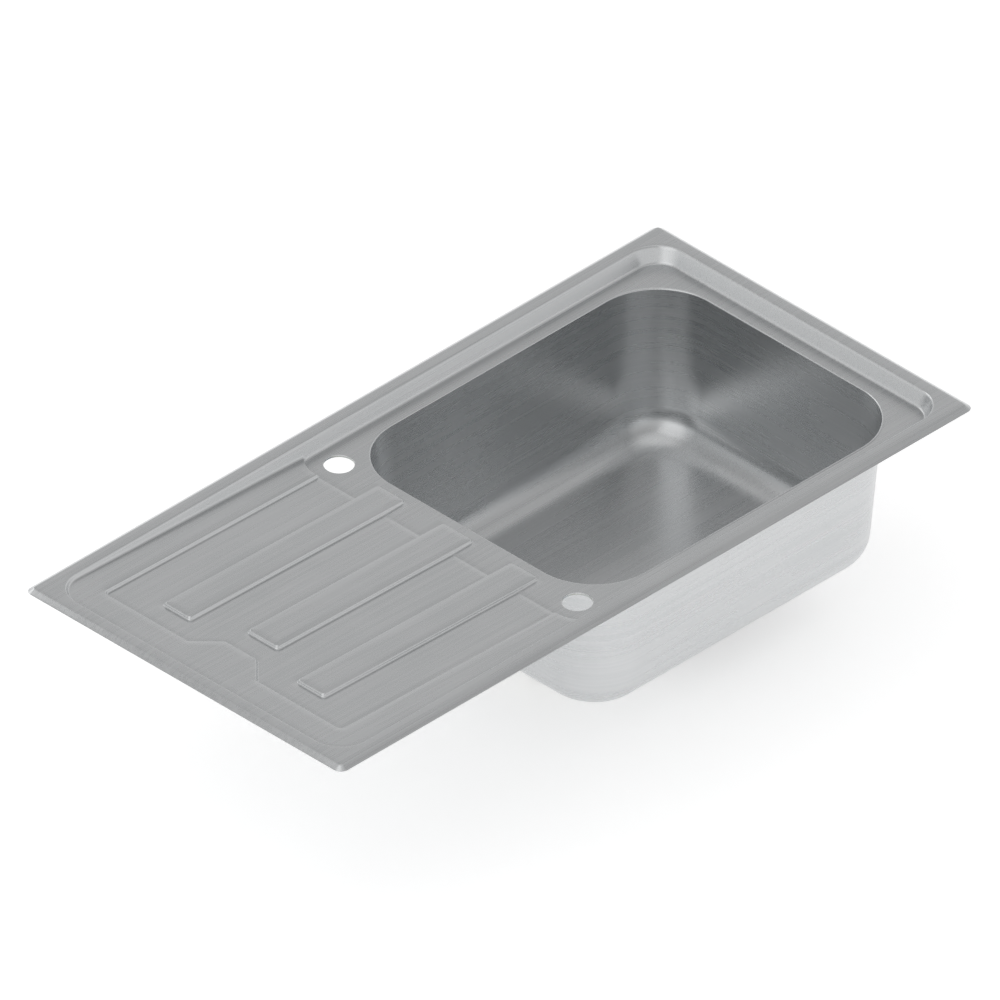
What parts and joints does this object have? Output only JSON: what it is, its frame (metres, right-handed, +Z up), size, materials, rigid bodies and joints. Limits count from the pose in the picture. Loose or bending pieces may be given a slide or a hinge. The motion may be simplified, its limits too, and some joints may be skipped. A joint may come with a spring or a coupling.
{
  "type": "kitchen sink with drainboard",
  "caption": "Inset pressed steel kitchen sink: raised flat rim, deep rounded bowl, sloping ribbed drainer, open tap holes, strainer waste, overflow and swing clips.",
  "frame": {"origin": "centre of the sink's plan, on the worktop surface that the rim's edge rests on", "axes": "+X along the sink towards the bowl, +Y towards the wall, +Z up"},
  "size_m": [1, 0.5, 0.2781],
  "materials": {
    "satin_steel_deck": "satin, brushed along the sink",
    "satin_steel_bowl": "satin, brushed round the bowl",
    "foam_seal": "closed-cell foam",
    "galvanised_steel": "galvanised, dull spangle",
    "bitumen_pad": "matt, pressed grain",
    "zinc_plated_fastener": "bright zinc plate",
    "spring_steel_clip": "zinc plated strip",
    "polished_fitting": "polished stainless",
    "stainless_screw": "turned, bright",
    "rubber": "matt moulded",
    "ribbed_hose": "corrugated, soft grey",
    "white_plastic": "moulded, semi-gloss"
  },
  "bodies": {
    "sink": {"deck": "satin_steel_deck", "bowl": "satin_steel_bowl", "rim_seal": "foam_seal", "tap_hole_plate_front": "galvanised_steel", "tap_hole_plate_rear": "galvanised_steel", "drainer_stiffener_left": "galvanised_steel", "drainer_stiffener_right": "galvanised_steel", "sound_pad_floor": "bitumen_pad", "sound_pad_rear": "bitumen_pad", "sound_pad_right": "bitumen_pad", "earth_tag": "galvanised_steel", "clip_bracket_1": "spring_steel_clip", "clip_bracket_2": "spring_steel_clip", "clip_bracket_3": "spring_steel_clip", "clip_bracket_4": "spring_steel_clip", "clip_bracket_5": "spring_steel_clip", "clip_bracket_6": "spring_steel_clip", "waste_flange": "polished_fitting", "waste_gasket_upper": "rubber", "waste_gasket_lower": "rubber", "waste_body": "white_plastic", "waste_screw": "stainless_screw", "overflow_plate": "polished_fitting", "overflow_screw": "stainless_screw", "overflow_gasket": "rubber", "overflow_elbow": "white_plastic", "overflow_hose": "ribbed_hose", "hose_nut_top": "white_plastic", "hose_nut_bottom": "white_plastic"},
    "basket": {"basket": "polished_fitting", "basket_plug": "rubber", "basket_knob": "polished_fitting"},
    "clip_1_carrier": {"clip_washer_1": "zinc_plated_fastener"},
    "clip_1_screw": {"clip_screw_1": "zinc_plated_fastener"},
    "clip_1_claw": {"clip_claw_1": "spring_steel_clip"},
    "clip_2_carrier": {"clip_washer_2": "zinc_plated_fastener"},
    "clip_2_screw": {"clip_screw_2": "zinc_plated_fastener"},
    "clip_2_claw": {"clip_claw_2": "spring_steel_clip"},
    "clip_3_carrier": {"clip_washer_3": "zinc_plated_fastener"},
    "clip_3_screw": {"clip_screw_3": "zinc_plated_fastener"},
    "clip_3_claw": {"clip_claw_3": "spring_steel_clip"},
    "clip_4_carrier": {"clip_washer_4": "zinc_plated_fastener"},
    "clip_4_screw": {"clip_screw_4": "zinc_plated_fastener"},
    "clip_4_claw": {"clip_claw_4": "spring_steel_clip"},
    "clip_5_carrier": {"clip_washer_5": "zinc_plated_fastener"},
    "clip_5_screw": {"clip_screw_5": "zinc_plated_fastener"},
    "clip_5_claw": {"clip_claw_5": "spring_steel_clip"},
    "clip_6_carrier": {"clip_washer_6": "zinc_plated_fastener"},
    "clip_6_screw": {"clip_screw_6": "zinc_plated_fastener"},
    "clip_6_claw": {"clip_claw_6": "spring_steel_clip"}
  },
  "joints": [
    {"name": "basket_lift", "type": "slide", "parent": "sink", "child": "basket", "axis": [0, 0, 1], "range_m": [0, 0.26]},
    {"name": "clip_1_travel", "type": "slide", "parent": "sink", "child": "clip_1_carrier", "axis": [0, 0, 1], "range_m": [-0.007, 0]},
    {"name": "clip_1_turn", "type": "hinge", "parent": "clip_1_carrier", "child": "clip_1_screw", "pos_m": [-0.285, -0.211, -0.026], "axis": [0, 0, 1], "range_deg": [-2520, 0]},
    {"name": "clip_1_swing", "type": "hinge", "parent": "clip_1_carrier", "child": "clip_1_claw", "pos_m": [-0.285, -0.211, -0.026], "axis": [0, 0, 1], "range_deg": [0, 90]},
    {"name": "clip_2_travel", "type": "slide", "parent": "sink", "child": "clip_2_carrier", "axis": [0, 0, 1], "range_m": [-0.007, 0]},
    {"name": "clip_2_turn", "type": "hinge", "parent": "clip_2_carrier", "child": "clip_2_screw", "pos_m": [0.285, -0.211, -0.026], "axis": [0, 0, 1], "range_deg": [-2520, 0]},
    {"name": "clip_2_swing", "type": "hinge", "parent": "clip_2_carrier", "child": "clip_2_claw", "pos_m": [0.285, -0.211, -0.026], "axis": [0, 0, 1], "range_deg": [0, 90]},
    {"name": "clip_3_travel", "type": "slide", "parent": "sink", "child": "clip_3_carrier", "axis": [0, 0, 1], "range_m": [-0.007, 0]},
    {"name": "clip_3_turn", "type": "hinge", "parent": "clip_3_carrier", "child": "clip_3_screw", "pos_m": [0.461, 0, -0.026], "axis": [0, 0, 1], "range_deg": [-2520, 0]},
    {"name": "clip_3_swing", "type": "hinge", "parent": "clip_3_carrier", "child": "clip_3_claw", "pos_m": [0.461, 0, -0.026], "axis": [0, 0, 1], "range_deg": [0, 90]},
    {"name": "clip_4_travel", "type": "slide", "parent": "sink", "child": "clip_4_carrier", "axis": [0, 0, 1], "range_m": [-0.007, 0]},
    {"name": "clip_4_turn", "type": "hinge", "parent": "clip_4_carrier", "child": "clip_4_screw", "pos_m": [0.285, 0.211, -0.026], "axis": [0, 0, 1], "range_deg": [-2520, 0]},
    {"name": "clip_4_swing", "type": "hinge", "parent": "clip_4_carrier", "child": "clip_4_claw", "pos_m": [0.285, 0.211, -0.026], "axis": [0, 0, 1], "range_deg": [0, 90]},
    {"name": "clip_5_travel", "type": "slide", "parent": "sink", "child": "clip_5_carrier", "axis": [0, 0, 1], "range_m": [-0.007, 0]},
    {"name": "clip_5_turn", "type": "hinge", "parent": "clip_5_carrier", "child": "clip_5_screw", "pos_m": [-0.285, 0.211, -0.026], "axis": [0, 0, 1], "range_deg": [-2520, 0]},
    {"name": "clip_5_swing", "type": "hinge", "parent": "clip_5_carrier", "child": "clip_5_claw", "pos_m": [-0.285, 0.211, -0.026], "axis": [0, 0, 1], "range_deg": [0, 90]},
    {"name": "clip_6_travel", "type": "slide", "parent": "sink", "child": "clip_6_carrier", "axis": [0, 0, 1], "range_m": [-0.007, 0]},
    {"name": "clip_6_turn", "type": "hinge", "parent": "clip_6_carrier", "child": "clip_6_screw", "pos_m": [-0.461, 0, -0.026], "axis": [0, 0, 1], "range_deg": [-2520, 0]},
    {"name": "clip_6_swing", "type": "hinge", "parent": "clip_6_carrier", "child": "clip_6_claw", "pos_m": [-0.461, 0, -0.026], "axis": [0, 0, 1], "range_deg": [0, 90]}
  ],
  "couplings": [
    {"joint": "clip_1_turn", "follows": "clip_1_travel", "rad_per_m": 6283.2},
    {"joint": "clip_2_turn", "follows": "clip_2_travel", "rad_per_m": 6283.2},
    {"joint": "clip_3_turn", "follows": "clip_3_travel", "rad_per_m": 6283.2},
    {"joint": "clip_4_turn", "follows": "clip_4_travel", "rad_per_m": 6283.2},
    {"joint": "clip_5_turn", "follows": "clip_5_travel", "rad_per_m": 6283.2},
    {"joint": "clip_6_turn", "follows": "clip_6_travel", "rad_per_m": 6283.2}
  ]
}
